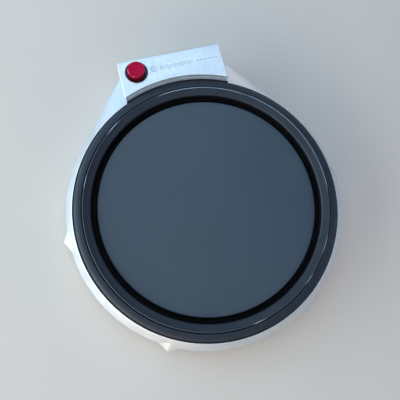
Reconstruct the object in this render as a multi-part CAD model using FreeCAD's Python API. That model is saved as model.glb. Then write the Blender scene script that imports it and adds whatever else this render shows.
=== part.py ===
"""Compact electronic drum pad: round playing pad, metal case, control block and one push button."""

import FreeCAD, Part
import math
import os

V = FreeCAD.Vector

# Driving dimensions, mm.  Z = 0 is the underside of the base, on the axis of the round pad;
# +Y points at the block.
PAD_R = 62.0
PAD_TOP = 21.0
PAD_EDGE = 0.5
SKIN_T = 3.0
PLATE_R = 61.0
PLATE_T = 1.5
FOAM_T = 4.0
FOAM_R = (44.0, 60.0)
PLATE_TOP = PAD_TOP - SKIN_T
FOAM_TOP = PLATE_TOP - PLATE_T
PIEZO_STACK = (("sensor_foam_tape", 0.6, 13.5), ("piezo_disc", 0.3, 13.5), ("piezo_ceramic", 0.2, 10.0))
CONE_R = (9.0, 6.0)

WELL_R = 65.1
WELL_BEVEL = (0.5, 23.2, 23.7)
RIDGE_TOP = 25.05
RING_SPLIT_R = (69.5, 70.0)
RIDGE_EDGE = (0.35, 0.25)
OUTER_FACETS = ((0.0, 24.4), (0.3, 24.65), (1.8, 24.4), (3.0, 23.95), (4.3, 23.1))
OUTER_LIP = 0.4
RIM_R = 75.2
RING_GAP = 0.1
RIM_FLAT = 0.4
RIM_TOP = 21.8
RIM_SEAT = 18.0

CASE_R = 80.1
CASE_WALL = 2.4
CASE_SHOULDER = 14.8
CASE_BOTTOM = 3.0
FLANK_ANGLE = 51.0
FLANGE_R = 66.0

LUG_R = 83.3
LUG_HALF_DEG = 4.6
LUG_WAIST = (2.64, 0.35)
LUG_TIP_DEG = 0.75
LUG_TIP_RISE = 0.35
LUG_ANGLES = (180, 240, 300, 360)
LUG_ROOT_R = 79.0
LUG_TOP = 12.5
LUG_SUNK_R = 77.0
LUG_SUNK_Z = 18.2
LUG_SUNK_SCALE = 0.13

BLOCK_HALF = 31.1
BLOCK_Y = 93.6
BLOCK_ARC_R = 77.6
BLOCK_BOTTOM = 15.2
BLOCK_TOP = 24.5
BLOCK_ROOF = 2.5
BLOCK_WALL = 2.2
BLOCK_EDGE = 0.4
HEAD_INSET = 0.5
HEAD_PLATE_T = 2.4
RING_STEP_R = 76.4
RING_STEP_DROP = 0.3
RING_STEP_GAP = 0.2
BLOCK_SCREWS = ((26.3, 84.0), (-8.0, 83.0))
BOSS_R = 2.9
BLOCK_PILOT_TOP = 21.0

BUTTON_X, BUTTON_Y = -21.2, 85.4
BUTTON_R = 5.0
BUTTON_TOP = 28.2
BUTTON_BEVEL = 0.5
BUTTON_HOLE_R = 6.5
BORE_WALL = 2.0
BUTTON_TRAVEL = 1.0
BUTTON_FLANGE = (6.0, 18.9, 20.1)
PLUNGER_R = 1.7
PLUNGER_TOP = 14.4
PIN_R = 2.0
PIN_HOLE_R = 2.6
COLLAR_Z = (20.4, 22.9)
SPRING = (0.3, 4.5, 3)
FIT = 0.05
AIR = 0.3

CONTROL_BOARD = (-28.0, 14.0, 79.6, 89.7)
CONTROL_BOARD_Z = 8.0
CONTROL_BOARD_SCREWS = ((-12.5, 82.5), (11.5, 82.0))
BOARD_T = 1.2
SWITCH_SIDE = 6.0
SWITCH_H = 3.5
SWITCH_FLOOR = 0.4
SOCKET_X = 6.0
SOCKET_SIZE = (8.94, 7.3, 3.2)
SOCKET_FRONT = BLOCK_Y - HEAD_INSET - 1.0
SLOT_GAP = 0.15
SOCKET_NOSE = 3.6
SOCKET_SHELL = 0.3
TONGUE = (6.6, 0.7)

TRAY_FLOOR = (10.5, 12.5)
TRAY_CUP_R = (63.6, 65.4)
TRAY_FLANGE = (71.0, 12.8, 14.7)
TRAY_SCREW_R = 68.3
TRAY_SCREW_ANGLES = (45, 135, 225, 315)
TRAY_PILOT_TOP = 17.2
WIRE_HOLE = (18.0, 2.0)

BASE_T = 3.0
BASE_INSET = 0.8
BASE_EDGE = 0.7
RIB_H = 3.0
RIB_T = 1.6
RIB_CLEAR = 0.4
POST_R = 74.0
POST_RADIUS = 3.2
POST_ANGLES = (0, 60, 120, 180, 240, 300)
POST_PILOT_TOP = 13.0
COUNTERBORE = 2.0
FOOT_R = 6.5
FOOT_DROP = 2.0
FOOT_SINK = 0.8
FOOT_RING_R = 64.0
FOOT_ANGLES = (30, 150, 212, 328)

INSERT_R = 6.0
INSERT_BORE_R = 3.4
INSERT_L = 10.0
BOSS_WALL = 2.5

CELL = (53.0, 34.0, 5.7)
CELL_Y = -49.0
CELL_Z = 2.5
CELL_GAP = 0.7
CONTACT_X = (-8.0, -3.0, 2.0)
CONTACT_W = 2.4
CONTACT_Z = (3.6, 7.0)
BAY_ROOF = 8.4
BAY_WALL = 1.2
DOOR_HALF = 28.6
DOOR_TONGUE = 1.6
DOOR_T = 1.9
DOOR_LIP = 0.8
DOOR_INNER_Y = -29.5
GRIP = (9.0, -70.0, 3.0, 4)
GRIP_Z = (-0.4, 0.2)
GRIP_W = 1.0

MAIN_BOARD = (-36.0, 36.0, 14.0, 54.0)
MAIN_BOARD_Z = 5.0
MAIN_BOARD_T = 1.6
MAIN_BOARD_SCREWS = ((-32.0, 18.0), (32.0, 18.0), (-32.0, 50.0), (32.0, 50.0))
CHIPS = ((-10, 32, 12, 12, 1.2), (12, 38, 14, 10, 2.0), (-10, 47, 8, 5, 1.0), (14, 24, 6, 6, 1.4),
         (-24, 38, 5, 3.2, 1.1))
CAPACITORS = ((-24.0, 24.0), (-17.0, 24.0))
CAPACITOR_R, CAPACITOR_H = 2.5, 3.4
PLUGS = ((0, 18.5), (22, 18.5), (0, 50.5))
PLUG = (4.0, 2.2, 3.4)
MAIN_POST_R = 3.0
CONTROL_POST_R = 2.6
BOARD_PILOT_R = 1.05
BOARD_HOLE_R = 1.2

SCREW_R = 1.45
SCREW_CLEAR = 0.2
HEAD_R = 2.8
SMALL_HEAD_R = 2.4
HEAD_H = 1.7

# Cutting tools run from BELOW to ABOVE, past every face of the object.
BELOW, ABOVE = -1.0, 40.0


def box(x0, x1, y0, y1, z0, z1):
    return Part.makeBox(x1 - x0, y1 - y0, z1 - z0, V(x0, y0, z0))


def cyl(x, y, z0, z1, r):
    return Part.makeCylinder(r, z1 - z0, V(x, y, z0))


def tube(x, y, z0, z1, inner, outer):
    return cyl(x, y, z0, z1, outer).cut(cyl(x, y, z0, z1, inner))


def polar(radius, degrees):
    a = math.radians(degrees)
    return radius * math.cos(a), radius * math.sin(a)


def lathe(points):
    """Solid of revolution about Z of a closed outline of (radius, height) points."""
    ring = [V(r, 0, z) for r, z in points]
    face = Part.Face(Part.makePolygon(ring + ring[:1]))
    return face.revolve(V(0, 0, 0), V(0, 0, 1), 360)


def prism(wire, z0, z1):
    """Straight solid of a flat closed wire, lifted to z0 and drawn up to z1."""
    face = Part.Face(wire)
    face.translate(V(0, 0, z0 - face.BoundBox.ZMin))
    return face.extrude(V(0, 0, z1 - z0))


def fuse(shapes):
    return shapes[0].multiFuse(shapes[1:]).removeSplitter()


def save(name, shapes):
    """Write one node; a list becomes a group of separate solids."""
    shape = Part.makeCompound(shapes) if isinstance(shapes, list) else shapes
    assert shape.isValid(), name
    shape.exportStep(os.path.join("parts", name + ".step"))
    print(name, len(shape.Solids), round(shape.Volume))


def flank_points(radius, half):
    """Where the straight flanks leave the circle, and where they reach the sides of the block."""
    a = math.radians(FLANK_ANGLE)
    touch = (radius * math.sin(a), radius * math.cos(a))
    corner = (half, (radius - half * math.sin(a)) / math.cos(a))
    return touch, corner


def circle_arc(radius, start, end):
    points = [V(*polar(radius, t), 0) for t in (start, (start + end) / 2, end)]
    return Part.Arc(*points).toShape()


def lug(angle):
    """One pointed bump on the case wall, with a top that sinks into the slope of the rim."""
    waist, share = LUG_WAIST
    side = [(CASE_R, LUG_HALF_DEG), (CASE_R + share * (LUG_R - CASE_R), waist),
            (LUG_R - LUG_TIP_RISE, LUG_TIP_DEG)]
    rising = [V(*polar(r, angle - t), LUG_TOP) for r, t in side]
    falling = [V(*polar(r, angle + t), LUG_TOP) for r, t in reversed(side)]
    root = [V(*polar(LUG_ROOT_R, angle + t), LUG_TOP) for t in (LUG_HALF_DEG, -LUG_HALF_DEG)]
    edges = [Part.Arc(*rising).toShape(),
             Part.Arc(rising[-1], V(*polar(LUG_R, angle), LUG_TOP), falling[0]).toShape(),
             Part.Arc(*falling).toShape()]
    path = [falling[-1]] + root + [rising[0]]
    edges += [Part.LineSegment(p, q).toShape() for p, q in zip(path, path[1:])]
    foot = Part.Wire(edges)
    sunk = foot.copy()
    sunk.scale(LUG_SUNK_SCALE, V(*polar(LUG_SUNK_R, angle), LUG_TOP))
    sunk.translate(V(0, 0, LUG_SUNK_Z - LUG_TOP))
    top = Part.makeLoft([foot, sunk], True, True)
    return prism(foot, CASE_BOTTOM, LUG_TOP).fuse(top)


def outline(inset, head=True):
    """Plan outline of the case: most of a circle, two straight flanks and the head."""
    radius, half, far = CASE_R - inset, BLOCK_HALF - inset, BLOCK_Y - HEAD_INSET - inset
    touch, corner = flank_points(radius, half)
    side = [touch, corner] + ([(half, far)] if head else [])
    path = [V(x, y, 0) for x, y in side] + [V(-x, y, 0) for x, y in reversed(side)]
    lines = [Part.LineSegment(a, b).toShape() for a, b in zip(path, path[1:])]
    return Part.Wire(lines + [circle_arc(radius, 90 + FLANK_ANGLE, 450 - FLANK_ANGLE)])


def rim_outline(radius):
    """The rim circle, cut at the same places as the outline without its head."""
    near = math.degrees(math.acos(BLOCK_HALF / radius))
    stops = [90 - FLANK_ANGLE, near, 180 - near, 90 + FLANK_ANGLE, 450 - FLANK_ANGLE]
    return Part.Wire([circle_arc(radius, a, b) for a, b in zip(stops, stops[1:])])


def block_plan(inset, arc_r):
    """Plan outline of the control block: three straight sides and a hollow arc that follows the ring."""
    half, far = BLOCK_HALF - inset, BLOCK_Y - inset
    near = math.sqrt(arc_r ** 2 - half ** 2)
    corners = [V(half, near, 0), V(half, far, 0), V(-half, far, 0), V(-half, near, 0)]
    lines = [Part.LineSegment(a, b).toShape() for a, b in zip(corners, corners[1:])]
    arc = Part.Arc(corners[-1], V(0, arc_r, 0), corners[0]).toShape()
    return Part.Wire(lines + [arc])


def upper_shell():
    """Die-cast metal case: wall, sloped rim, flanks, lugs, ring seat, block pocket and screw posts."""
    base = outline(0, head=False)
    base.translate(V(0, 0, CASE_SHOULDER))
    top = rim_outline(RIM_R + RIM_FLAT)
    top.translate(V(0, 0, RIM_TOP))
    slope = Part.makeLoft([base, top], True, True)
    wall = prism(outline(0), CASE_BOTTOM, CASE_SHOULDER)
    shell = fuse([wall, slope] + [lug(angle) for angle in LUG_ANGLES])
    shell = shell.cut(prism(outline(CASE_WALL), CASE_BOTTOM - 1, CASE_SHOULDER))
    head_far = BLOCK_Y - HEAD_INSET
    plate_z = (BLOCK_BOTTOM - HEAD_PLATE_T, BLOCK_BOTTOM)
    plate = box(-BLOCK_HALF, BLOCK_HALF, 0, head_far, *plate_z)
    plate = plate.common(prism(outline(0), *plate_z)).cut(cyl(0, 0, *plate_z, RING_STEP_R))
    posts = []
    for angle in POST_ANGLES:
        posts.append(cyl(*polar(POST_R, angle), CASE_BOTTOM, CASE_SHOULDER + 1, POST_RADIUS))
    shell = fuse([shell, plate] + posts)
    cuts = [cyl(0, 0, BELOW, ABOVE, FLANGE_R), cyl(0, 0, RIM_SEAT, ABOVE, RIM_R)]
    step = cyl(0, 0, RIM_SEAT, ABOVE, RING_STEP_R + FIT)
    cuts.append(step.common(box(-BLOCK_HALF, BLOCK_HALF, 0, BLOCK_Y, BELOW, ABOVE)))
    cuts.append(prism(block_plan(-FIT, BLOCK_ARC_R - FIT), BLOCK_BOTTOM, ABOVE))
    for angle in POST_ANGLES:
        cuts.append(cyl(*polar(POST_R, angle), BELOW, POST_PILOT_TOP, SCREW_R + FIT))
    for angle in TRAY_SCREW_ANGLES:
        cuts.append(cyl(*polar(TRAY_SCREW_R, angle), BELOW, TRAY_PILOT_TOP, SCREW_R + FIT))
    for x, y in BLOCK_SCREWS:
        cuts.append(cyl(x, y, BELOW, BLOCK_BOTTOM + 1, SCREW_R + FIT))
    cuts.append(cyl(BUTTON_X, BUTTON_Y, BELOW, BLOCK_BOTTOM + 1, PIN_HOLE_R))
    cuts.append(socket_slot(SLOT_GAP))
    for cut in cuts:
        shell = shell.cut(cut)
    return shell.removeSplitter()


def socket_slot(grow):
    """Rounded slot through the outer wall of the head for the charging socket."""
    width, _, height = SOCKET_SIZE
    z = CONTROL_BOARD_Z + BOARD_T + height / 2
    r = height / 2 + grow
    reach = width / 2 + grow - r
    near, far = SOCKET_FRONT - SOCKET_NOSE, BLOCK_Y + 1
    axis = V(0, 1, 0)
    ends = [Part.makeCylinder(r, far - near, V(SOCKET_X + s * reach, near, z), axis) for s in (-1, 1)]
    middle = box(SOCKET_X - reach, SOCKET_X + reach, near, far, z - r, z + r)
    return fuse([middle] + ends)


def control_block():
    """Hollow machined head with the button bore and two screw bosses, on the case's head plate."""
    block = prism(block_plan(0, BLOCK_ARC_R), BLOCK_BOTTOM, BLOCK_TOP)
    top_edges = [e for e in block.Edges if e.BoundBox.ZMin > BLOCK_TOP - 0.01]
    block = block.makeChamfer(BLOCK_EDGE, top_edges)
    roof_z = BLOCK_TOP - BLOCK_ROOF
    hollow = prism(block_plan(BLOCK_WALL, BLOCK_ARC_R + BLOCK_WALL), BLOCK_BOTTOM - 1, roof_z)
    hollow = hollow.cut(cyl(BUTTON_X, BUTTON_Y, BELOW, ABOVE, BUTTON_HOLE_R + BORE_WALL))
    for x, y in BLOCK_SCREWS:
        hollow = hollow.cut(cyl(x, y, BELOW, ABOVE, BOSS_R))
    block = block.cut(hollow).cut(cyl(BUTTON_X, BUTTON_Y, BELOW, ABOVE, BUTTON_HOLE_R))
    for x, y in BLOCK_SCREWS:
        block = block.cut(cyl(x, y, BELOW, BLOCK_PILOT_TOP, SCREW_R + FIT))
    return block


def rim_inner_ring():
    """Raised inner ring: upright well wall, lit bevel, and a top that rises to the ridge."""
    outer = RING_SPLIT_R[0]
    bevel, bevel_low, bevel_high = WELL_BEVEL
    inset, drop = RIDGE_EDGE
    return lathe([(WELL_R, RIM_SEAT), (WELL_R, bevel_low), (WELL_R + bevel, bevel_high),
                  (outer - inset, RIDGE_TOP), (outer, RIDGE_TOP - drop), (outer, RIM_SEAT)])


def rim_outer_ring():
    """Outer ring that falls in shallow facets from the ridge to the metal rim, stepped out at the block."""
    inner, outer = RING_SPLIT_R[1], RIM_R - RING_GAP
    facets = [(inner + step, z) for step, z in OUTER_FACETS]
    ledge = RIM_TOP - RING_STEP_DROP
    ring = lathe([(inner, RIM_SEAT)] + facets + [(outer - OUTER_LIP, ledge), (outer, ledge), (outer, RIM_SEAT)])
    step = tube(0, 0, RIM_SEAT, ledge, outer - OUTER_LIP, RING_STEP_R)
    half = BLOCK_HALF - RING_STEP_GAP
    return fuse([ring, step.common(box(-half, half, 0, BLOCK_Y, BELOW, ABOVE))])


def pad_skin():
    """Soft playing surface with a small rounded edge."""
    skin = cyl(0, 0, PAD_TOP - SKIN_T, PAD_TOP, PAD_R)
    edge = [e for e in skin.Edges if e.BoundBox.ZMin > PAD_TOP - 0.01]
    return skin.makeFillet(PAD_EDGE, edge)


def chassis_tray():
    """Moulded tray: a round cup that hangs from the ring seat and carries the foam and the sensor."""
    low, floor = TRAY_FLOOR
    inner, outer = TRAY_CUP_R
    flange, under, top = TRAY_FLANGE
    tray = lathe([(0, low), (outer, low), (outer, under), (flange, under), (flange, top),
                  (inner, top), (inner, floor), (0, floor)])
    for angle in TRAY_SCREW_ANGLES:
        tray = tray.cut(cyl(*polar(TRAY_SCREW_R, angle), BELOW, ABOVE, SCREW_R + SCREW_CLEAR))
    return tray.cut(cyl(0, WIRE_HOLE[0], BELOW, ABOVE, WIRE_HOLE[1]))


def base_plate():
    """Flat bottom of the case with its lower edge bevelled all round."""
    plate = prism(outline(BASE_INSET), 0, BASE_T)
    return plate.makeChamfer(BASE_EDGE, [e for e in plate.Edges if e.BoundBox.ZMax < 0.01])


def base_cover():
    """Moulded base: plate, locating rib, board posts, stand boss, battery bay and door channel."""
    plate = base_plate()
    rib_z = (BASE_T, BASE_T + RIB_H)
    rib_inset = CASE_WALL + AIR
    rib = prism(outline(rib_inset), *rib_z).cut(prism(outline(rib_inset + RIB_T), *rib_z))
    for angle in POST_ANGLES:
        rib = rib.cut(cyl(*polar(POST_R, angle), *rib_z, POST_RADIUS + RIB_CLEAR))
    boss = cyl(0, 0, 0, INSERT_L + 0.2, INSERT_R + BOSS_WALL)
    half_x, half_y = CELL[0] / 2 + CELL_GAP, CELL[1] / 2 + CELL_GAP
    wall_x, wall_y = half_x + BAY_WALL, half_y + BAY_WALL
    bay = box(-wall_x, wall_x, CELL_Y - wall_y, CELL_Y + wall_y, 0, BAY_ROOF + BAY_WALL)
    posts = [cyl(x, y, 0, MAIN_BOARD_Z, MAIN_POST_R) for x, y in MAIN_BOARD_SCREWS]
    posts += [cyl(x, y, 0, CONTROL_BOARD_Z, CONTROL_POST_R) for x, y in CONTROL_BOARD_SCREWS]
    base = fuse([plate, rib, boss, bay] + posts)
    cuts = [box(-half_x, half_x, CELL_Y - half_y, CELL_Y + half_y, BELOW, BAY_ROOF)]
    cuts.append(cyl(0, 0, BELOW, INSERT_L, INSERT_R))
    cuts.append(cyl(0, 0, INSERT_L - 1, INSERT_L + 1, INSERT_BORE_R))
    cuts.append(door_profile(AIR))
    for angle in POST_ANGLES:
        x, y = polar(POST_R, angle)
        cuts.append(cyl(x, y, BELOW, COUNTERBORE, HEAD_R + AIR))
        cuts.append(cyl(x, y, BELOW, BASE_T + 1, SCREW_R + SCREW_CLEAR))
    for angle in FOOT_ANGLES:
        cuts.append(cyl(*polar(FOOT_RING_R, angle), BELOW, FOOT_SINK, FOOT_R))
    for x, y in MAIN_BOARD_SCREWS:
        cuts.append(cyl(x, y, 1.0, MAIN_BOARD_Z + 1, BOARD_PILOT_R))
    for x, y in CONTROL_BOARD_SCREWS:
        cuts.append(cyl(x, y, 2.0, CONTROL_BOARD_Z + 1, BOARD_PILOT_R))
    for cut in cuts:
        base = base.cut(cut)
    return base.removeSplitter()


def door_profile(grow):
    """T-section bar of the battery door, or of its channel when grown by the running gap."""
    near, far_y = DOOR_INNER_Y + grow, -CASE_R - 10
    panel = box(-DOOR_HALF - grow, DOOR_HALF + grow, far_y, near, -grow, DOOR_T + grow)
    wide = DOOR_HALF + DOOR_TONGUE + grow
    tongues = box(-wide, wide, far_y, near, DOOR_LIP + AIR - grow, DOOR_T + grow)
    return panel.fuse(tongues)


def battery_door():
    """Door that slides out towards -Y; its outer end follows the base, with a row of grip ridges."""
    door = door_profile(0).common(base_plate())
    half, first, pitch, count = GRIP
    starts = [first + pitch * i for i in range(count)]
    return fuse([door] + [box(-half, half, y, y + GRIP_W, *GRIP_Z) for y in starts])


def main_board():
    x0, x1, y0, y1 = MAIN_BOARD
    board = box(x0, x1, y0, y1, MAIN_BOARD_Z, MAIN_BOARD_Z + MAIN_BOARD_T)
    for x, y in MAIN_BOARD_SCREWS:
        board = board.cut(cyl(x, y, BELOW, ABOVE, BOARD_HOLE_R))
    return board


def main_board_chips():
    """Processor, radio module, memory, regulator, crystal and two capacitors on the main board."""
    z = MAIN_BOARD_Z + MAIN_BOARD_T
    chips = [box(x - w / 2, x + w / 2, y - d / 2, y + d / 2, z, z + h) for x, y, w, d, h in CHIPS]
    return chips + [cyl(x, y, z, z + CAPACITOR_H, CAPACITOR_R) for x, y in CAPACITORS]


def main_board_headers():
    """Three small plugs for the sensor, battery and control-board wiring."""
    z = MAIN_BOARD_Z + MAIN_BOARD_T
    half_x, half_y, height = PLUG
    return [box(x - half_x, x + half_x, y - half_y, y + half_y, z, z + height) for x, y in PLUGS]


def control_board():
    x0, x1, y0, y1 = CONTROL_BOARD
    board = box(x0, x1, y0, y1, CONTROL_BOARD_Z, CONTROL_BOARD_Z + BOARD_T)
    for x, y in CONTROL_BOARD_SCREWS:
        board = board.cut(cyl(x, y, BELOW, ABOVE, BOARD_HOLE_R))
    return board


def tactile_switch():
    z = CONTROL_BOARD_Z + BOARD_T
    half = SWITCH_SIDE / 2
    body = box(BUTTON_X - half, BUTTON_X + half, BUTTON_Y - half, BUTTON_Y + half, z, z + SWITCH_H)
    return body.cut(cyl(BUTTON_X, BUTTON_Y, z + SWITCH_FLOOR, ABOVE, PLUNGER_R + FIT))


def switch_plunger():
    bottom = CONTROL_BOARD_Z + BOARD_T + SWITCH_FLOOR + BUTTON_TRAVEL + AIR
    return cyl(BUTTON_X, BUTTON_Y, bottom, PLUNGER_TOP, PLUNGER_R)


def button_cap():
    """Turned button: flat cap with a bevelled edge, retaining flange and a pin down to the switch."""
    radius, low, high = BUTTON_FLANGE
    cap = cyl(BUTTON_X, BUTTON_Y, high, BUTTON_TOP, BUTTON_R)
    edge = [e for e in cap.Edges if e.BoundBox.ZMin > BUTTON_TOP - 0.01]
    cap = cap.makeChamfer(BUTTON_BEVEL, edge)
    flange = cyl(BUTTON_X, BUTTON_Y, low, high, radius)
    pin = cyl(BUTTON_X, BUTTON_Y, PLUNGER_TOP, low, PIN_R)
    return fuse([cap, flange, pin])


def button_collar():
    return tube(BUTTON_X, BUTTON_Y, *COLLAR_Z, BUTTON_R + FIT, BUTTON_HOLE_R - 0.02)


def button_spring():
    """Return spring between the head plate and the flange of the button, swept one turn at a time."""
    wire, mean, turns = SPRING
    low, high = BLOCK_BOTTOM + FIT, BUTTON_FLANGE[1] - FIT
    pitch = (high - low - 2 * wire) / turns
    helix = Part.makeHelix(pitch, pitch, mean)
    section = Part.Wire(Part.makeCircle(wire, V(mean, 0, 0), V(0, 1, 0)))
    turn = Part.Wire(helix).makePipeShell([section], True, True)
    pieces = []
    for i in range(turns):
        piece = turn.copy()
        piece.translate(V(BUTTON_X, BUTTON_Y, low + wire + i * pitch))
        pieces.append(piece)
    return pieces[0].multiFuse(pieces[1:])


def charging_socket():
    """Metal socket shell with a tongue, on the control board behind the slot in the head."""
    width, depth, height = SOCKET_SIZE
    z, front = CONTROL_BOARD_Z + BOARD_T, SOCKET_FRONT
    nose = front - SOCKET_NOSE
    body = socket_slot(0).cut(box(0, 2 * SOCKET_X, front, ABOVE + BLOCK_Y, BELOW, ABOVE))
    rear = box(SOCKET_X - width / 2, SOCKET_X + width / 2, front - depth, nose, z, z + height)
    shell = fuse([body, rear]).cut(socket_slot(-SOCKET_SHELL))
    half, thick = TONGUE[0] / 2, TONGUE[1] / 2
    middle = z + height / 2
    tongue = box(SOCKET_X - half, SOCKET_X + half, nose - 1.5, front - 0.4, middle - thick, middle + thick)
    return fuse([shell, tongue])


def piezo():
    """Brass disc on foam tape, with the ceramic on top of it."""
    z = TRAY_FLOOR[1]
    for name, thick, radius in PIEZO_STACK:
        save(name, cyl(0, 0, z, z + thick, radius))
        z += thick
    save("sensor_foam_cone", Part.makeCone(*CONE_R, FOAM_TOP - z, V(0, 0, z)))


def screw(x, y, head_z, tip_z, radius, head_r, head_h):
    """Cross-recess screw; the head lies on the far side of head_z from the tip."""
    up = 1 if tip_z > head_z else -1
    shank = cyl(x, y, min(head_z, tip_z), max(head_z, tip_z), radius)
    far = head_z - up * head_h
    head = cyl(x, y, min(head_z, far), max(head_z, far), head_r)
    mouth, depth = far, far + up * head_h * 0.6
    z0, z1 = min(mouth, depth), max(mouth, depth)
    arm, slot = head_r * 0.6, head_r * 0.14
    bars = [box(x - a, x + a, y - b, y + b, z0, z1) for a, b in ((arm, slot), (slot, arm))]
    return shank.fuse(head).cut(bars[0].fuse(bars[1]))


def battery_contacts():
    """Three leaf contacts on the bay wall that bear on the end of the cell."""
    end = CELL_Y + CELL[1] / 2
    half, (low, high) = CONTACT_W / 2, CONTACT_Z
    return [box(x - half, x + half, end, end + CELL_GAP, low, high) for x in CONTACT_X]


def save_screws():
    """Five sets of screws: places, heights of head and tip, then shank radius and head size."""
    posts = [polar(POST_R, a) for a in POST_ANGLES]
    tray = [polar(TRAY_SCREW_R, a) for a in TRAY_SCREW_ANGLES]
    plate_under = BLOCK_BOTTOM - HEAD_PLATE_T
    main_top, control_top = MAIN_BOARD_Z + MAIN_BOARD_T, CONTROL_BOARD_Z + BOARD_T
    sets = {
        "base_screws": (posts, COUNTERBORE, POST_PILOT_TOP - 1, SCREW_R, HEAD_R, HEAD_H),
        "tray_screws": (tray, TRAY_FLANGE[1], TRAY_PILOT_TOP - 0.2, SCREW_R, SMALL_HEAD_R, HEAD_H),
        "block_screws": (BLOCK_SCREWS, plate_under, BLOCK_PILOT_TOP - 0.5, SCREW_R, SMALL_HEAD_R, HEAD_H),
        "main_board_screws": (MAIN_BOARD_SCREWS, main_top, 1.5, 1.0, 2.0, 1.3),
        "control_board_screws": (CONTROL_BOARD_SCREWS, control_top, 3.0, 1.0, 1.9, 1.3),
    }
    for name, (places, *sizes) in sets.items():
        save(name, [screw(x, y, *sizes) for x, y in places])


def main():
    os.makedirs("parts", exist_ok=True)
    save("upper_shell", upper_shell())
    save("control_block", control_block())
    save("rim_inner_ring", rim_inner_ring())
    save("rim_outer_ring", rim_outer_ring())
    save("pad_skin", pad_skin())
    save("strike_plate", cyl(0, 0, FOAM_TOP, PLATE_TOP, PLATE_R))
    save("plate_foam_ring", tube(0, 0, TRAY_FLOOR[1], FOAM_TOP, *FOAM_R))
    piezo()
    save("chassis_tray", chassis_tray())
    save("base_cover", base_cover())
    save("battery_door", battery_door())
    save("battery_cell", box(-CELL[0] / 2, CELL[0] / 2, CELL_Y - CELL[1] / 2, CELL_Y + CELL[1] / 2,
                             CELL_Z, CELL_Z + CELL[2]))
    save("battery_contacts", battery_contacts())
    save("stand_insert", tube(0, 0, 0, INSERT_L, INSERT_BORE_R, INSERT_R))
    save("rubber_feet", [cyl(*polar(FOOT_RING_R, a), -FOOT_DROP, FOOT_SINK, FOOT_R) for a in FOOT_ANGLES])
    save("main_board", main_board())
    save("main_board_chips", main_board_chips())
    save("main_board_headers", main_board_headers())
    save("control_board", control_board())
    save("tactile_switch", tactile_switch())
    save("switch_plunger", switch_plunger())
    save("button_cap", button_cap())
    save("button_collar", button_collar())
    save("button_spring", button_spring())
    save("charging_socket", charging_socket())
    save_screws()


main()
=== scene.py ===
import math

import bmesh
import bpy
from mathutils import Matrix, Vector


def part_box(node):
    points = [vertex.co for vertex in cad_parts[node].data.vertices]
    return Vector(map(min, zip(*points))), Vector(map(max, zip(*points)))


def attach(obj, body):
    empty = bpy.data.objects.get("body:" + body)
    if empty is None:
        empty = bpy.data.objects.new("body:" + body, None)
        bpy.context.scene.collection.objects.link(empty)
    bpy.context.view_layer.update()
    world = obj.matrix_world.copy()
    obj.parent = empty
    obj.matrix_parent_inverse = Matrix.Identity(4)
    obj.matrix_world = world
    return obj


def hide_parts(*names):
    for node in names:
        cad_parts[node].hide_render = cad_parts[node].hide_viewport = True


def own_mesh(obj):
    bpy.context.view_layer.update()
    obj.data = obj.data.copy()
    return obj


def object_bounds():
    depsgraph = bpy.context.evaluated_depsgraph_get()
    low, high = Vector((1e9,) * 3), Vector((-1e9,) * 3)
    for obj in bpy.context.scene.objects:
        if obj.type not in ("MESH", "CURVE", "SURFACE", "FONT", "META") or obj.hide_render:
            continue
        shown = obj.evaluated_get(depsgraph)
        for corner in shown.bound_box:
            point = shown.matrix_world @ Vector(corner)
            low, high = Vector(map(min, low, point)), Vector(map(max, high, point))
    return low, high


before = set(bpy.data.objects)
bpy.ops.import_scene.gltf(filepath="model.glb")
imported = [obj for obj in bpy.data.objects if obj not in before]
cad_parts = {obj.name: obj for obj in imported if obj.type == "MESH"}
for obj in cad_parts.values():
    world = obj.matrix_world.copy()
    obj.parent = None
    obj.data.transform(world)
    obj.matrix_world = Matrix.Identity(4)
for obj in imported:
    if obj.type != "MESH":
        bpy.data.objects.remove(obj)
CAD_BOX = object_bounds()

# Lengths are in millimetres up to the point where a mesh is made, which scales them by MM.
MM = 0.001
# Two faces that meet at more than this many degrees keep a sharp edge.
CREASE = 32


def node_box(node):
    """Lowest and highest corner of a CAD node, in mm."""
    lo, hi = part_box(node)
    return lo / MM, hi / MM


PAD_LO, PAD_HI = node_box("pad_skin")
INNER_LO, INNER_HI = node_box("rim_inner_ring")
_, OUTER_HI = node_box("rim_outer_ring")
SHELL_LO, SHELL_HI = node_box("upper_shell")
BLOCK_LO, BLOCK_HI = node_box("control_block")
CAP_LO, CAP_HI = node_box("button_cap")
COLLAR_LO, COLLAR_HI = node_box("button_collar")
SOCKET_LO, SOCKET_HI = node_box("charging_socket")
BUTTON = (CAP_LO + CAP_HI) / 2

# Sizes in mm and angles in degrees that the boxes above don't give.
# CLEAR keeps joined faces from lying in one plane, and ABOVE is higher than the whole object.
CLEAR = 0.01
ABOVE = 40
# A rounded corner takes up to this share of the shorter edge beside it.
CORNER_SHARE = 0.48

# The well and the two rings. STEP_CUT_R is well inside the rim, so the step is cut right through it.
WELL_R = 65.1
WELL_BEVEL_LOW = 23.15
WELL_BEVEL_TOP = 23.75
INNER_CREST = (67.4, 24.25)
FLANGE_R = 66.0
RING_SPLIT_R = INNER_HI.x + 0.5
RING_R = OUTER_HI.x
RING_STEP_R = OUTER_HI.y
STEP_CUT_R = 70

# Facets of the outer ring: distance from the groove, height from the top, corner radius.
OUTER_FACETS = ((0.0, -0.3, 0.2), (0.35, 0.0, 0.3), (1.8, -0.25, 1.0), (3.0, -0.7, 1.0), (4.3, -1.55, 0.5))
LEDGE_DROP = 0.3
GAP_DROP = 0.9

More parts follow.
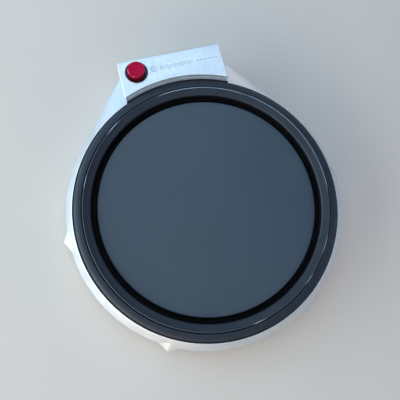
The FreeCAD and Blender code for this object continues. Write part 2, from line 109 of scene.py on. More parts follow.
# The metal case: rim, wall, flanks and head.
RIM_R = RING_R + 0.1
RIM_FLAT = 0.4
RIM_TOP = SHELL_HI.z
RIM_SEAT = INNER_LO.z
CASE_R = 80.1
CASE_WALL = 2.4
CASE_SHOULDER = 14.8
CASE_BOTTOM = SHELL_LO.z
FLANK_ANGLE = 51.0
HEAD_FAR = SHELL_HI.y
HEAD_CORNER = 1.4

# The ribs. LUG_SIDE is (angle from the tip, rise over the wall) at the foot, middle and shoulder of a curve.
# SLOPE_BREAK is how far up the slope its crease is at a rib, as a share. Elsewhere it is 0.3 of that.
LUG_R = SHELL_HI.x
LUG_ANGLES = (180, 240, 300, 360)
LUG_SHOULDER = 0.35
LUG_SIDE = ((4.6, 0.0), (2.6, 0.92), (0.75, LUG_R - LUG_SHOULDER - CASE_R))
LUG_RISE = LUG_R - CASE_R
LUG_TOP = 12.5
SLOPE_BREAK = 0.49

# Screw posts, the plate under the block and the charging slot.
POST_ANGLES = (0, 60, 120, 180, 240, 300)
POST_AT_R = 74.0
POST_R = 3.2
POST_BORE_R = 1.5
POST_BORE_TOP = 13
HEAD_PLATE_HALF = 30
HEAD_PLATE_NEAR = 78
HEAD_PLATE_MARGIN = 1.5
HEAD_PLATE_T = 2.4
SLOT_DEPTH = 3
SLOT_GAP = 0.15

# The control block and the signs on it.
BLOCK_HALF = BLOCK_HI.x
BLOCK_ARC_R = 77.6
BLOCK_CORNER = 1.7
BLOCK_NEAR_CORNER = 0.5
BLOCK_EDGE = 0.45
BLOCK_WALL = 2.2
BLOCK_ROOF = 2.5
POCKET_GAP = 0.05
SIGN_DEPTH = 0.2
SIGN_Y = BUTTON.y - 0.1
SIGN_X = -10.9
SIGN_RING = (1.35, 1.95)
SIGN_DOT_R = 0.55
BAR_COUNT, BAR_X, BAR_PITCH = 14, -6.6, 1.45
BAR_SIZES = ((0.6, 3.2), (0.6, 1.9), (0.6, 1.9))
DASH_COUNT, DASH_X, DASH_PITCH = 6, 16.0, 2.3
DASH_SIZE = (1.3, 0.9)

# The button, its hole and its spring.
HOLE_R = (COLLAR_HI.x - COLLAR_LO.x) / 2 + 0.02
HOLE_BEVEL = 0.3
HOLE_WALL = 1.2
BUTTON_R = 5.0
BUTTON_FLANGE = (18.9, 20.1)
PIN_R = 2.0
PIN_HOLE_R = 2.6
SPRING_WIRE_R = 0.3
SPRING_TURNS = 3

# Radii of the foam pieces.
FOAM_RING_R = (44.3, 59.7)
FOAM_CONE_R = (8.8, 5.9)
FOAM_TAPE_R = 13.4

# Where a pale painted highlight runs along the ridge of the black finish, the side where it is strongest, and
# the height under which the gaps get painted shade.
RIDGE_LINE_R = INNER_HI.x - 0.25
HIGHLIGHT_SIDE = 48.0
GAP_SHADE_Z = 23.3


def polar(radius, degrees, z=0.0):
    a = math.radians(degrees)
    return Vector((radius * math.cos(a), radius * math.sin(a), z))


def rounded(path, steps=4, closed=True):
    """Points along a path of (corner, radius) pairs, with each corner turned into an arc of that radius."""
    out = []
    for i, (corner, radius) in enumerate(path):
        if not radius or (not closed and i in (0, len(path) - 1)):
            out.append(corner.copy())
            continue
        before = path[i - 1][0] - corner
        after = path[(i + 1) % len(path)][0] - corner
        half = before.angle(after) / 2
        reach = min(radius / math.tan(half), CORNER_SHARE * before.length, CORNER_SHARE * after.length)
        start, end = corner + before.normalized() * reach, corner + after.normalized() * reach
        for k in range(steps + 1):
            s = k / steps
            a, c, b = (1 - s) ** 2, 2 * math.sin(half) * s * (1 - s), s * s
            out.append((start * a + corner * c + end * b) / (a + c + b))
    return out


def lifted(point, z):
    return Vector((point.x, point.y, z))


def between(a, b, count):
    """count points from a up to but not including b."""
    return [a.lerp(b, i / count) for i in range(count)]


def mesh_object(name, verts, faces):
    """A mesh from points in mm, with double points merged and its faces turned outwards."""
    mesh = bpy.data.meshes.new(name)
    mesh.from_pydata([v * MM for v in verts], [], faces)
    work = bmesh.new()
    work.from_mesh(mesh)
    bmesh.ops.remove_doubles(work, verts=work.verts, dist=1e-7)
    bmesh.ops.recalc_face_normals(work, faces=work.faces)
    work.to_mesh(mesh)
    work.free()
    obj = bpy.data.objects.new(name, mesh)
    bpy.context.scene.collection.objects.link(obj)
    return obj


def skin(name, stations, ring=True, profile=True, caps=False):
    """Faces between neighbouring rows of points.

    ring joins the last row to the first one, profile the ends of each row, and caps closes the end rows.
    """
    rows, width = len(stations), len(stations[0])
    faces = []
    for i in range(rows if ring else rows - 1):
        j = (i + 1) % rows
        for k in range(width if profile else width - 1):
            m = (k + 1) % width
            faces.append((i * width + k, j * width + k, j * width + m, i * width + m))
    if caps:
        faces += [tuple(range(width)), tuple(range((rows - 1) * width, rows * width))]
    return mesh_object(name, [p for row in stations for p in row], faces)


def revolve(points, angle):
    turn = Matrix.Rotation(math.radians(angle), 3, "Z")
    return [turn @ p for p in points]


def lathe(name, profile, centre=(0.0, 0.0), segments=360, steps=4):
    """Solid of revolution of (radius, height, corner radius) triples, open on the axis if it starts there."""
    path = [(Vector((r, 0, z)), corner) for r, z, corner in profile]
    on_axis = profile[0][0] == 0
    row = rounded(path, steps, closed=not on_axis)
    obj = skin(name, [revolve(row, 360 * i / segments) for i in range(segments)], profile=not on_axis)
    obj.data.transform(Matrix.Translation(Vector((*centre, 0)) * MM))
    return obj


def prism(name, plan, low, high):
    rows = [[lifted(p, z) for p in plan] for z in (low, high)]
    return skin(name, rows, ring=False, caps=True)


def disc_plan(x, y, radius, count=72):
    return [Vector((x, y, 0)) + polar(radius, 360 * i / count) for i in range(count)]


def rectangle(x_low, y_low, x_high, y_high, z=0.0):
    corners = ((x_low, y_low), (x_high, y_low), (x_high, y_high), (x_low, y_high))
    return [Vector((x, y, z)) for x, y in corners]


def join(parts):
    """One object with the meshes of all of them."""
    work = bmesh.new()
    for part in parts:
        work.from_mesh(part.data)
    keep = parts[0]
    work.to_mesh(keep.data)
    work.free()
    for part in parts[1:]:
        bpy.data.objects.remove(part)
    return keep


def boolean(obj, other, operation):
    """Applies one exact boolean to obj and removes the other object."""
    modifier = obj.modifiers.new("cut", "BOOLEAN")
    modifier.operation, modifier.solver, modifier.object = operation, "EXACT", other
    graph = bpy.context.evaluated_depsgraph_get()
    made = bpy.data.meshes.new_from_object(obj.evaluated_get(graph))
    obj.modifiers.clear()
    obj.data = made
    bpy.data.objects.remove(other)
    return obj


# The case.

def flank_points(radius, half):
    """Where a straight flank leaves the circle, and where it reaches the side of the block."""
    a = math.radians(FLANK_ANGLE)
    touch = Vector((radius * math.sin(a), radius * math.cos(a), 0))
    return touch, Vector((half, (radius - half * math.sin(a)) / math.cos(a), 0))


def curve(points, count):
    """count + 1 points along the quadratic curve with those three control points."""
    made = []
    for i in range(count + 1):
        s = i / count
        weights = ((1 - s) ** 2, 2 * s * (1 - s), s * s)
        made.append(tuple(sum(w * p[k] for w, p in zip(weights, points)) for k in (0, 1)))
    return made


def lug_points(radius, angle, lugs):
    """One rib of the wall as (angle, radius) pairs: hollow side, rounded tip, hollow side, or a plain arc."""
    shoulder, rise = LUG_SIDE[-1]
    half = curve(LUG_SIDE, 16) + [(shoulder * t, rise + LUG_SHOULDER * (1 - t * t)) for t in (0.6, 0.2)]
    if not lugs:
        half = [(t, 0.0) for t, _ in half]
    before = [(angle - t, radius + r) for t, r in half]
    return before + [(angle + t, radius + r) for t, r in reversed(half)]


def head_points(inset):
    """Right half of the head, from the circle to the middle of its far side, as case_plan gives it."""
    half, far = BLOCK_HALF - inset, HEAD_FAR - inset
    touch, corner = flank_points(CASE_R - inset, half)
    flank = between(touch, corner, 28)
    far_corner = (Vector((half, far, 0)), max(HEAD_CORNER - inset, 0.2))
    head = rounded([(corner, 0), far_corner, (Vector((0, far, 0)), 0)], 6, closed=False)
    leave = 90 - FLANK_ANGLE
    meet = math.degrees(math.acos(BLOCK_HALF / (RIM_R + RIM_FLAT)))
    angles = [leave + (meet - leave) * i / len(flank) for i in range(len(flank))]
    angles += [meet + (90 - meet) * i / (len(head) - 1) for i in range(len(head))]
    return list(zip(flank + head, angles))


def degrees_between(start, stop):
    """Angles about a degree apart between two others, without those two."""
    count = round(stop - start)
    return [start + (stop - start) * i / count for i in range(1, count)]


def case_plan(inset, lugs):
    """Plan of the case wall, counter-clockwise from the right flank: (point, angle of its rim point)."""
    radius, reach = CASE_R - inset, LUG_SIDE[0][0]
    right = head_points(inset)
    left = [(Vector((-p.x, p.y, p.z)), 180 - angle) for p, angle in reversed(right)]
    wall = []
    at, end = 90 + FLANK_ANGLE, 450 - FLANK_ANGLE
    for angle in LUG_ANGLES:
        wall += [(t, radius) for t in degrees_between(at, angle - reach)]
        wall += lug_points(radius, angle, lugs)
        at = angle + reach
    wall += [(t, radius) for t in degrees_between(at, end)]
    return right + left[1:] + [(polar(r, t), t) for t, r in wall]


def block_half_angle(half, radius):
    """Half of the angle that the block takes up on a circle, where half is half of its width."""
    return math.degrees(math.asin(half / radius))


def case_wall():
    """Seat and flat of the rim, the slope that runs out into flanks, ribs and wall, and the inside."""
    stations = []
    plans = zip(case_plan(0, True), case_plan(0, False), case_plan(CASE_WALL, False))
    for (outside, angle), (bare, _), (inside, _) in plans:
        rim, shoulder = polar(RIM_R + RIM_FLAT, angle, RIM_TOP), lifted(bare, CASE_SHOULDER)
        bump = (outside - bare).length / LUG_RISE
        crease = SLOPE_BREAK * (0.3 + 0.7 * bump)
        edge = CASE_SHOULDER - bump * (CASE_SHOULDER - LUG_TOP)
        path = [
            (polar(FLANGE_R, angle, CASE_SHOULDER), 0),
            (polar(FLANGE_R, angle, RIM_SEAT), 0.1),
            (polar(RIM_R, angle, RIM_SEAT), 0),
            (polar(RIM_R, angle, RIM_TOP), 0.15),
            (rim, 0.35),
            (shoulder.lerp(rim, crease), 1.5),
            (lifted(outside, edge), 1.0),
            (lifted(outside, CASE_BOTTOM), 0.3),
            (lifted(inside, CASE_BOTTOM), 0.2),
            (lifted(inside, CASE_SHOULDER), 0),
        ]
        stations.append(rounded(path))
    return skin("case_shell", stations)


def case_posts():
    """The screw posts inside the case and the plate under the block."""
    posts = []
    for angle in POST_ANGLES:
        plan = disc_plan(*polar(POST_AT_R, angle).xy, POST_R)
        posts.append(prism("post", plan, CASE_BOTTOM + CLEAR, CASE_SHOULDER + 1))
    plate = rectangle(-HEAD_PLATE_HALF, HEAD_PLATE_NEAR, HEAD_PLATE_HALF, HEAD_FAR - HEAD_PLATE_MARGIN)
    posts.append(prism("plate", plate, BLOCK_LO.z - HEAD_PLATE_T, BLOCK_LO.z - CLEAR))
    return join(posts)


def step_sector():
    """Plan of the cut that makes room for the wide part of the outer ring, beside the block."""
    radius, steps = RING_STEP_R + POCKET_GAP, 40
    half_angle = block_half_angle(BLOCK_HALF, radius)
    angles = [90 + half_angle * i / steps for i in range(-steps, steps + 1)]
    return [polar(radius, t) for t in angles] + [polar(STEP_CUT_R, t) for t in reversed(angles)]


def case_shell():
    """The metal case with its pocket for the block, step, charging slot, pin hole and screw bores."""
    shell = boolean(case_wall(), case_posts(), "UNION")
    cuts = [
        prism("pocket", block_plan(-POCKET_GAP), BLOCK_LO.z, ABOVE),
        prism("step", step_sector(), RIM_SEAT + 0.002, ABOVE - 1),
        charging_slot(),
        prism("hole", disc_plan(BUTTON.x, BUTTON.y, PIN_HOLE_R), 10, BLOCK_LO.z + 1),
    ]
    for angle in POST_ANGLES:
        plan = disc_plan(*polar(POST_AT_R, angle).xy, POST_BORE_R)
        cuts.append(prism("bore", plan, CASE_BOTTOM - 1, POST_BORE_TOP))
    for cut in cuts:
        shell = boolean(shell, cut, "DIFFERENCE")
    return shell


def charging_slot():
    """Rounded slot through the outer wall of the head, in front of the charging socket."""
    centre = (SOCKET_LO + SOCKET_HI) / 2
    radius = (SOCKET_HI.z - SOCKET_LO.z) / 2 + SLOT_GAP
    half = (SOCKET_HI.x - SOCKET_LO.x) / 2 + SLOT_GAP - radius
    plan = []
    for side in (1, -1):
        for i in range(25):
            p = polar(radius, -90 * side + 180 * i / 24)
            plan.append((side * half + p.x, p.y))
    rows = [[Vector((centre.x + x, y, centre.z + z)) for x, z in plan]
            for y in (SOCKET_HI.y - SLOT_DEPTH, HEAD_FAR + 2)]
    return skin("slot", rows, ring=False, caps=True)


# The control block and the button.

def block_plan(inset):
    """Plan of the control block: three straight sides, small round corners, and the hollow arc."""
    half, far, arc = BLOCK_HALF - inset, BLOCK_HI.y - inset, BLOCK_ARC_R + inset
    near = math.sqrt(arc ** 2 - half ** 2)
    round_far = max(BLOCK_CORNER - inset, 0.1)
    round_near = max(BLOCK_NEAR_CORNER - inset, 0.1)
    start = math.degrees(math.atan2(near, half))
    bend = [polar(arc, start + (180 - 2 * start) * i / 60) for i in range(1, 60)]
    corners = [(Vector((half, near, 0)), round_near), (Vector((half, far, 0)), round_far),
               (Vector((-half, far, 0)), round_far), (Vector((-half, near, 0)), round_near)]
    return rounded(corners + [(p, 0) for p in reversed(bend)], 6)


def marks(low, high):
    """Plain engraved signs on the block: a ring with a dot, a scale of bars and a row of dashes."""
    inner, outer = SIGN_RING
    ring = [(inner, low, 0), (outer, low, 0), (outer, high, 0), (inner, high, 0)]
    parts = [lathe("mark", ring, (SIGN_X, SIGN_Y), 64),
             prism("mark", disc_plan(SIGN_X, SIGN_Y, SIGN_DOT_R, 32), low, high)]
    bars = [(BAR_X + BAR_PITCH * i, *BAR_SIZES[i % 3]) for i in range(BAR_COUNT)]
    bars += [(DASH_X + DASH_PITCH * i, *DASH_SIZE) for i in range(DASH_COUNT)]
    for x, width, height in bars:
        plan = rectangle(x - width / 2, SIGN_Y - height / 2, x + width / 2, SIGN_Y + height / 2)
        parts.append(prism("mark", plan, low, high))
    return join(parts)


def control_block():
    """The machined head: rounded edges, the button bore, a hollow below and shallow engraved signs."""
    low, top = BLOCK_LO.z, BLOCK_HI.z
    levels = [(0.15, low), (0.0, low + 0.15)]
    for i in range(6):
        a = math.radians(90 * i / 5)
        levels.append((BLOCK_EDGE * (1 - math.cos(a)), top - BLOCK_EDGE * (1 - math.sin(a))))
    levels.append((BLOCK_EDGE + 0.12, top))
    rows = [[lifted(p, z) for p in block_plan(inset)] for inset, z in levels]
    block = skin("block", rows, ring=False, caps=True)
    hollow = prism("hollow", block_plan(BLOCK_WALL), low - 1, top - BLOCK_ROOF)
    boss = prism("boss", disc_plan(BUTTON.x, BUTTON.y, HOLE_R + HOLE_WALL), low - 2, top)
    block = boolean(block, boolean(hollow, boss, "DIFFERENCE"), "DIFFERENCE")
    mouth = HOLE_R + HOLE_BEVEL
    bore = [(0, low - 2, 0), (HOLE_R, low - 2, 0), (HOLE_R, top - 0.25, 0.2), (mouth, top + 0.05, 0),
            (mouth, top + 1, 0), (0, top + 1, 0)]
    block = boolean(block, lathe("bore", bore, BUTTON.xy, 128), "DIFFERENCE")
    return boolean(block, marks(top - SIGN_DEPTH, top + SIGN_DEPTH), "DIFFERENCE")


# The rings, the playing surface, the button and the soft pieces.

def inner_ring():
    """Raised inner ring: upright well wall, narrow bevel, and a top that rises to the ridge."""
    outer, ridge = INNER_HI.x, INNER_HI.z
    return lathe("ring_inner", [
        (WELL_R, RIM_SEAT, 0.1), (WELL_R, WELL_BEVEL_LOW, 0.25), (WELL_R + 0.6, WELL_BEVEL_TOP, 0.5),
        (*INNER_CREST, 4.0), (outer - 0.4, ridge, 0.3), (outer, ridge - 0.3, 0.2), (outer, RIM_SEAT, 0.1)])


def outer_ring():
    """Outer ring: falls in shallow facets from the groove to a fine gap, with a ledge by the block."""
    inner, top = RING_SPLIT_R, OUTER_HI.z
    ledge = RIM_TOP - LEDGE_DROP
    head = [(inner, RIM_SEAT, 0)] + [(inner + out, top + up, corner) for out, up, corner in OUTER_FACETS]
    ledge_tail = [(RING_R - 0.4, ledge, 0.2), (RING_STEP_R, ledge, 0.12), (RING_STEP_R, RIM_SEAT, 0)]
    gap = ledge - GAP_DROP
    gap_tail = [(RING_R - 0.4, gap + 0.2, 0.1), (RING_R, gap, 0.1), (RING_R, RIM_SEAT, 0)]
    half_angle = block_half_angle(BLOCK_HALF - 0.2, RING_STEP_R)
    edges = [90 + side * half_angle + shift for side in (-1, 1) for shift in (-0.01, 0.01)]
    stations = []
    for angle in sorted(list(range(360)) + edges):
        tail = ledge_tail if abs(angle - 90) < half_angle else gap_tail
        path = [(Vector((r, 0, z)), corner) for r, z, corner in head + tail]
        stations.append(revolve(rounded(path), angle))
    return skin("ring_outer", stations)


def pad():
    """The soft playing surface: flat, with a rolled edge and a slight draft down its side."""
    r, top, low = PAD_HI.x, PAD_HI.z, PAD_LO.z
    flat = [(r * share, top, 0) for share in (0, 0.2, 0.4, 0.6, 0.8, 0.95)]
    return lathe("pad", flat + [(r - 0.12, top, 0.55), (r, top - 1.4, 0.3), (r, low, 0.1), (0, low, 0)])


def button():
    """Turned button: dished top with a rolled edge, skirt, retaining flange and pin."""
    top, low = CAP_HI.z, CAP_LO.z
    flange_r, (under, over) = (CAP_HI.x - CAP_LO.x) / 2, BUTTON_FLANGE
    profile = [
        (0, top - 0.14, 0), (2.0, top - 0.12, 0), (3.6, top - 0.04, 1.0), (4.15, top, 0.4),
        (BUTTON_R, top, 0.5), (BUTTON_R, over, 0.1), (flange_r, over, 0.15), (flange_r, under, 0.15),
        (PIN_R, under, 0), (PIN_R, low, 0.2), (0, low, 0),
    ]
    return lathe("button", profile, BUTTON.xy, 160)


def button_spring():
    """The coil under the flange of the button."""
    lo, hi = node_box("button_spring")
    wire, steps = SPRING_WIRE_R, 60 * SPRING_TURNS
    mean, rise = (hi.x - lo.x) / 2 - wire, hi.z - lo.z - 2 * wire
    stations = []
    for i in range(steps + 1):
        out = polar(1, 360 * i * SPRING_TURNS / steps)
        centre = BUTTON.xy.to_3d() + out * mean + Vector((0, 0, lo.z + wire + rise * i / steps))
        stations.append([centre + out * (wire * math.cos(t)) + Vector((0, 0, wire * math.sin(t)))
                         for t in (math.tau * k / 16 for k in range(16))])
    return skin("button_spring_coil", stations, ring=False, caps=True)


def foam_body(name, node, low_r, high_r, hole_r=0.0, bulge=0.3):
    """A die-cut foam piece, given by its radii, whose sides bulge a little under the load on it."""
    lo, hi = node_box(node)
    middle = (lo.z + hi.z) / 2
    side = [(high_r, hi.z, 0.3), ((low_r + high_r) / 2 + bulge, middle, 1.5), (low_r, lo.z, 0.3)]
    if hole_r:
        hole = [(hole_r, lo.z, 0.3), (hole_r - bulge, middle, 1.5), (hole_r, hi.z, 0.3)]
        return lathe(name, hole + side, steps=3)
    return lathe(name, [(0, hi.z, 0)] + side + [(0, lo.z, 0)], steps=3, segments=120)


# Materials.

class Look:
    """One procedural material. Sizes are in mm on the object."""

    def __init__(self, name):
        self.material = bpy.data.materials.new(name)
        self.material.use_nodes = True
        self.tree = self.material.node_tree
        self.shader = self.tree.nodes["Principled BSDF"]
        self.normal = None
        self.place = self.add("TexCoord", out="Object")

    def add(self, kind, inputs=None, out=0, **settings):
        node = self.tree.nodes.new("ShaderNode" + kind)
        for key, value in settings.items():
            setattr(node, key, value)
        for key, value in (inputs or {}).items():
            self.plug(node.inputs[key], value)
        return node.outputs[out]

    def plug(self, socket, value):
        if isinstance(value, bpy.types.NodeSocket):
            self.tree.links.new(value, socket)
        else:
            socket.default_value = value

    def set(self, **values):
        for key, value in values.items():
            self.plug(self.shader.inputs[key.replace("_", " ")], value)

    def noise(self, size, detail=2.0, rough=0.5, stretch=(1, 1, 1)):
        at = self.add("Mapping", {"Vector": self.place, "Scale": stretch})
        inputs = {"Vector": at, "Scale": 1 / (size * MM), "Detail": detail, "Roughness": rough}
        return self.add("TexNoise", inputs)

    def levels(self, value, low, high, to_low=0.0, to_high=1.0):
        inputs = {"Value": value, "From Min": low, "From Max": high, "To Min": to_low, "To Max": to_high}
        return self.add("MapRange", inputs)

    def calc(self, operation, a, b=0.0, c=0.0):
        return self.add("Math", {0: a, 1: b, 2: c}, operation=operation)

    def mix(self, share, a, b):
        return self.add("Mix", {0: share, 6: a, 7: b}, out=2, data_type="RGBA")

    def blend(self, share, a, b):
        return self.add("Mix", {0: share, 2: a, 3: b}, out=0, data_type="FLOAT")

    def axis(self, number):
        """Place along X, Y or Z, in metres."""
        return self.add("SeparateXYZ", {0: self.place}, out=number)

    def radius(self, centre=(0.0, 0.0)):
        """Distance from an upright axis, in mm."""
        dx, dy = (self.calc("SUBTRACT", self.axis(i), centre[i] * MM) for i in (0, 1))
        total = self.calc("ADD", self.calc("MULTIPLY", dx, dx), self.calc("MULTIPLY", dy, dy))
        return self.calc("MULTIPLY", self.calc("SQRT", total), 1 / MM)

    def angle(self):
        """Direction from the pad's axis, in radians from +X towards +Y."""
        return self.calc("ARCTAN2", self.axis(1), self.axis(0))

    def height(self):
        """Height above the underside of the base, in mm."""
        return self.calc("MULTIPLY", self.axis(2), 1 / MM)

    def edge(self):
        return self.add("Attribute", out="Fac", attribute_name="edge")

    def turning_lines(self, radius, rate, depth):
        """Fine round grooves, as a tool leaves them. rate is radians for each mm."""
        self.bump(self.calc("SINE", self.calc("MULTIPLY", radius, rate)), depth)

    def bump(self, height, depth):
        """Relief of that depth in mm."""
        inputs = {"Height": height, "Distance": depth * MM, "Strength": 1.0}
        if self.normal:
            inputs["Normal"] = self.normal
        self.normal = self.add("Bump", inputs)
        self.set(Normal=self.normal)


def surface(name, dark, light, rough, grain, metallic=0.0, mottle=14.0, wear=None, specular=0.5, scratch=0.0):
    """A finish with a fine grain, slow changes of tone and gloss, fine scratches and worn edges.

    rough is the range of roughness, grain the size and depth of the grain in mm, mottle the size of the slow
    changes in mm, wear the colour and share of the worn edges, and scratch the share of the scratches.
    """
    look = Look(name)
    slow = look.noise(mottle, 4.0)
    fine = look.noise(grain[0], 2.0, 0.6)
    both = look.calc("ADD", look.calc("MULTIPLY", slow, 0.7), look.calc("MULTIPLY", fine, 0.3))
    colour = look.mix(look.levels(both, 0.3, 0.7), (*dark, 1), (*light, 1))
    gloss = look.levels(look.noise(mottle * 0.45, 5.0, 0.65), 0.3, 0.7, *rough)
    if scratch:
        lines = look.levels(look.noise(9.0, 1.0, 0.4, (1, 22, 5)), 0.66, 0.72)
        pale = (*(min(1.0, c * 1.5 + 0.04) for c in light), 1)
        colour = look.mix(look.calc("MULTIPLY", lines, scratch), colour, pale)
    if wear:
        rub = look.levels(look.noise(2.2, 3.0, 0.7), 0.42, 0.62)
        worn = look.calc("MULTIPLY", look.calc("MULTIPLY", look.edge(), rub), wear[1])
        colour = look.mix(worn, colour, (*wear[0], 1))
        gloss = look.blend(worn, gloss, rough[0] * 0.8)
    look.colour = colour
    look.set(Base_Color=colour, Roughness=gloss, Metallic=metallic, Specular_IOR_Level=specular)
    look.bump(fine, grain[1])
    look.bump(slow, grain[1] * 1.5)
    return look


def case_metal():
    return surface("case_metal", (0.66, 0.72, 0.77), (0.76, 0.81, 0.85), (0.4, 0.5), (0.22, 0.006),
                   metallic=1.0, wear=((0.88, 0.9, 0.92), 0.5), scratch=0.12)


def ring_black():
    """Satin black with turning lines, a painted highlight along the ridge beside the groove, and painted
    shade on the faces down in the gaps.
    """
    look = surface("ring_black", (0.013, 0.021, 0.034), (0.02, 0.03, 0.046), (0.42, 0.54), (0.3, 0.008),
                   wear=((0.1, 0.11, 0.12), 0.4), scratch=0.15, specular=0.3)
    radius = look.radius()
    # Painted highlight: the ridge line is painted pale in patches, most on one side of the ring.
    off_ridge = look.calc("ABSOLUTE", look.calc("SUBTRACT", radius, RIDGE_LINE_R))
    ridge = look.levels(off_ridge, 0.1, 0.3, 1.0, 0.0)
    side = look.calc("COSINE", look.calc("SUBTRACT", look.angle(), math.radians(HIGHLIGHT_SIDE)))
    uneven = look.calc("MULTIPLY_ADD", side, 0.14, look.noise(20.0, 1.0))
    highlight_patches = look.levels(uneven, 0.5, 0.6, 0.05, 0.95)
    ridge_highlight = look.mix(look.calc("MULTIPLY", ridge, highlight_patches), look.colour, (0.5, 0.6, 0.7, 1))
    # Painted shade: ring faces below this height, down in the gaps, are painted near black.
    gap_shade = look.levels(look.height(), GAP_SHADE_Z - 0.5, GAP_SHADE_Z, 0.12, 1.0)
    look.set(Base_Color=look.mix(gap_shade, (0.001, 0.001, 0.002, 1), ridge_highlight))
    look.turning_lines(radius, 18.0, 0.0008)
    return look


def pad_rubber():
    return surface("pad_rubber", (0.034, 0.058, 0.084), (0.04, 0.066, 0.095), (0.42, 0.5), (0.12, 0.0015),
                   mottle=30.0)


def button_red():
    look = surface("button_red", (0.34, 0.002, 0.026), (0.43, 0.004, 0.038), (0.32, 0.42), (0.15, 0.002),
                   metallic=0.9, mottle=3.0, wear=((0.75, 0.2, 0.25), 0.5))
    look.turning_lines(look.radius(BUTTON.xy), 30.0, 0.0015)
    return look


LOOKS = {
    "case_metal": case_metal(),
    "ring_black": ring_black(),
    "pad_rubber": pad_rubber(),
    "button_red": button_red(),
    "collar": surface("collar_black", (0.02, 0.012, 0.016), (0.03, 0.02, 0.024), (0.4, 0.55), (0.2, 0.004)),
    "steel": surface("steel", (0.5, 0.5, 0.5), (0.58, 0.58, 0.57), (0.25, 0.4), (0.3, 0.004), metallic=1.0),
    "foam": surface("foam", (0.035, 0.035, 0.037), (0.06, 0.06, 0.062), (0.85, 0.95), (0.35, 0.12)),
    "brass": surface("brass", (0.62, 0.42, 0.16), (0.72, 0.5, 0.22), (0.25, 0.4), (0.3, 0.003), metallic=1.0),
    "ceramic": surface("ceramic", (0.62, 0.61, 0.56), (0.7, 0.69, 0.64), (0.45, 0.6), (0.2, 0.004)),
    "base_plastic": surface("base_plastic", (0.014, 0.015, 0.017), (0.022, 0.023, 0.026), (0.5, 0.62),
                            (0.35, 0.03), wear=((0.08, 0.08, 0.085), 0.5), scratch=0.1),
    "tray_plastic": surface("tray_plastic", (0.002, 0.002, 0.003), (0.004, 0.004, 0.005), (0.6, 0.75),
                            (0.35, 0.02), specular=0.15),
    "foot_rubber": surface("foot_rubber", (0.02, 0.02, 0.021), (0.035, 0.035, 0.036), (0.75, 0.88),
                           (0.25, 0.02)),
    "board_green": surface("board_green", (0.005, 0.06, 0.025), (0.01, 0.09, 0.04), (0.3, 0.4), (0.4, 0.01)),
    "chip_black": surface("chip_black", (0.02, 0.02, 0.02), (0.03, 0.03, 0.03), (0.45, 0.6), (0.15, 0.01)),
    "header_white": surface("header_white", (0.7, 0.68, 0.6), (0.78, 0.76, 0.7), (0.4, 0.5), (0.3, 0.006)),
    "cell_wrap": surface("cell_wrap", (0.3, 0.36, 0.45), (0.38, 0.44, 0.52), (0.25, 0.4), (1.2, 0.02),
                         metallic=0.6),
    "screw_steel": surface("screw_steel", (0.32, 0.32, 0.33), (0.42, 0.42, 0.42), (0.3, 0.45), (0.2, 0.006),
                           metallic=1.0),
    "socket_steel": surface("socket_steel", (0.5, 0.5, 0.5), (0.6, 0.6, 0.59), (0.25, 0.35), (0.25, 0.004),
                            metallic=1.0),
    "mark_ink": surface("mark_ink", (0.46, 0.52, 0.57), (0.54, 0.6, 0.65), (0.5, 0.6), (0.2, 0.004)),
}
# CAD nodes that are carried over as they are, with the look of each.
NODE_LOOKS = {
    "button_collar": "collar", "strike_plate": "steel", "piezo_disc": "brass", "piezo_ceramic": "ceramic",
    "chassis_tray": "tray_plastic", "base_cover": "base_plastic", "battery_door": "base_plastic",
    "battery_cell": "cell_wrap", "battery_contacts": "brass", "stand_insert": "brass",
    "rubber_feet": "foot_rubber", "main_board": "board_green", "main_board_chips": "chip_black",
    "main_board_headers": "header_white", "control_board": "board_green", "tactile_switch": "chip_black",
    "switch_plunger": "chip_black", "charging_socket": "socket_steel",
    "base_screws": "screw_steel", "tray_screws": "screw_steel", "block_screws": "screw_steel",
    "main_board_screws": "screw_steel", "control_board_screws": "screw_steel",
}


# Putting the pieces together.

def mark_edges(obj, low=8.0, high=20.0):
    """Writes how strongly the surface bends at each point, from low to high degrees, for the worn edges."""
    work = bmesh.new()
    work.from_mesh(obj.data)
    values = [0.0] * len(work.verts)
    for edge in work.edges:
        if len(edge.link_faces) != 2 or not edge.is_convex:
            continue
        bend = (math.degrees(edge.calc_face_angle(0.0)) - low) / (high - low)
        for vert in edge.verts:
            values[vert.index] = max(values[vert.index], min(1.0, max(0.0, bend)))
    work.free()
    layer = obj.data.attributes.new("edge", "FLOAT", "POINT")
    layer.data.foreach_set("value", values)


def place(obj, body, look, slot, *nodes):
    """Finishes one piece: smooth faces with creases, material, body and the nodes it stands for; slot is not
    used.
    """
    obj.data.polygons.foreach_set("use_smooth", [True] * len(obj.data.polygons))
    obj.data.set_sharp_from_angle(angle=math.radians(CREASE))
    mark_edges(obj)
    obj.data.materials.clear()
    obj.data.materials.append(LOOKS[look].material)
    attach(obj, body)
    if nodes:
        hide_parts(*nodes)
    return obj


def hard_pieces():
    place(case_shell(), "case", "case_metal", "case_metal", "upper_shell")
    place(control_block(), "case", "case_metal", "case_metal", "control_block")
    ink = marks(BLOCK_HI.z - 0.25, BLOCK_HI.z - 0.06)
    ink.name = "block_marks"
    place(ink, "case", "mark_ink", None)
    place(inner_ring(), "case", "ring_black", "ring_black", "rim_inner_ring")
    place(outer_ring(), "case", "ring_black", "ring_black", "rim_outer_ring")


def moving_pieces():
    place(pad(), "strike_head", "pad_rubber", "pad_rubber", "pad_skin")
    place(button(), "button", "button_red", "button_red", "button_cap")


def squash_down(piece):
    """Gives a piece its own copy of its mesh."""
    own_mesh(piece)


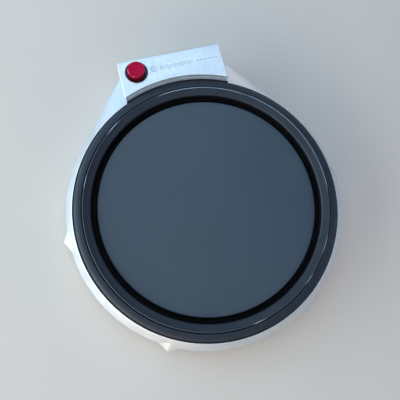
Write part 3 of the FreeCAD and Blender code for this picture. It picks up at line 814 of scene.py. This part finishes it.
def springy_pieces():
    hole_r, ring_r = FOAM_RING_R
    ring = foam_body("foam_ring", "plate_foam_ring", ring_r, ring_r, hole_r)
    cone = foam_body("foam_cone", "sensor_foam_cone", *FOAM_CONE_R)
    tape = foam_body("foam_tape", "sensor_foam_tape", FOAM_TAPE_R, FOAM_TAPE_R, bulge=0.05)
    for piece, node in ((ring, "plate_foam_ring"), (cone, "sensor_foam_cone"), (tape, "sensor_foam_tape")):
        place(piece, "case", "foam", "foam", node)
    spring = place(button_spring(), "case", "screw_steel", "screw_steel", "button_spring")
    squash_down(ring)
    squash_down(cone)
    squash_down(spring)


def carried_over_nodes():
    for node, look in NODE_LOOKS.items():
        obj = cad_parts[node]
        obj.data.materials.clear()
        obj.data.materials.append(LOOKS[look].material)


# Floor, light and camera.

FLOOR_HALF = 3000
# Name, azimuth and elevation in degrees, distance and size in metres, power in watts, colour.
# The places are given. The powers and colours are rounded results of a least-squares fit to the light
# in the photograph, apart from front, which was changed after the fit, and front_high, which is given.
LAMPS = (
    ("left_back", 124, 22, 1.0, 0.9, 2.9, (0.56, 0.77, 1.0)),
    ("back_high", 88, 60, 1.0, 0.9, 3.3, (0.59, 0.79, 1.0)),
    ("right_back", 45, 12, 1.0, 0.7, 1.3, (0.97, 0.94, 1.0)),
    ("right", 340, 20, 1.0, 0.9, 2.1, (0.63, 0.70, 1.0)),
    ("left", 160, 13, 1.0, 0.9, 7.7, (0.72, 0.89, 1.0)),
    ("left_front", 195, 10, 1.0, 0.8, 7.3, (0.88, 1.0, 0.99)),
    ("front", 228, 10, 1.0, 0.8, 6.2, (1.0, 0.74, 0.58)),
    ("front_high", 275, 28, 1.0, 0.7, 1.2, (1.0, 0.93, 0.86)),
    ("over", 250, 80, 1.2, 0.9, 2.9, (0.75, 0.9, 1.0)),
)
SKY = (0.7, 0.8, 1.0, 1)
SKY_STRENGTH = 0.04
# The camera: place in mm, directions to its back and right, and focal length in mm on a 36 mm sensor.
# These come from a least-squares fit to the object's outline in the photograph.
CAMERA_EYE = (-35.73, -33.89, PAD_HI.z + 232.74)
CAMERA_BACK = (-0.1334, -0.1581, 0.9784)
CAMERA_RIGHT = (0.9627, -0.2553, 0.0900)
CAMERA_LENS = 37.8


def floor():
    look = Look("floor")
    tone = look.mix(look.noise(60.0, 3.0), (0.66, 0.61, 0.56, 1), (0.70, 0.65, 0.60, 1))
    look.set(Base_Color=tone, Roughness=0.9)
    plan = rectangle(-FLOOR_HALF, -FLOOR_HALF, FLOOR_HALF, FLOOR_HALF, CAD_BOX[0].z / MM)
    obj = mesh_object("floor", plan, [(0, 1, 2, 3)])
    obj.data.materials.append(look.material)


def area_light(name, azimuth, elevation, distance, size, power, colour):
    """Soft light that faces the pad. Azimuth is measured from +X towards +Y."""
    lamp = bpy.data.lights.new(name, "AREA")
    lamp.shape, lamp.size, lamp.energy, lamp.color = "DISK", size, power, colour
    obj = bpy.data.objects.new(name, lamp)
    bpy.context.scene.collection.objects.link(obj)
    a, e = math.radians(azimuth), math.radians(elevation)
    away = Vector((math.cos(a) * math.cos(e), math.sin(a) * math.cos(e), math.sin(e)))
    obj.location = away * distance
    obj.rotation_euler = away.to_track_quat("Z", "Y").to_euler()


def lights():
    world = bpy.data.worlds.new("studio")
    bpy.context.scene.world = world
    world.use_nodes = True
    background = world.node_tree.nodes["Background"]
    background.inputs["Color"].default_value = SKY
    background.inputs["Strength"].default_value = SKY_STRENGTH
    for lamp in LAMPS:
        area_light(*lamp)


def camera():
    eye = Vector(CAMERA_EYE) * MM
    back = Vector(CAMERA_BACK).normalized()
    right = Vector(CAMERA_RIGHT).normalized()
    up = back.cross(right).normalized()
    right = up.cross(back)
    data = bpy.data.cameras.new("camera")
    data.lens, data.sensor_width, data.clip_start = CAMERA_LENS, 36.0, 0.01
    obj = bpy.data.objects.new("camera", data)
    bpy.context.scene.collection.objects.link(obj)
    turn = Matrix((right, up, back)).transposed().to_4x4()
    obj.matrix_world = Matrix.Translation(eye) @ turn
    bpy.context.scene.camera = obj


hard_pieces()
moving_pieces()
springy_pieces()
carried_over_nodes()
floor()
lights()
camera()
bpy.context.scene.view_settings.view_transform = "Standard"
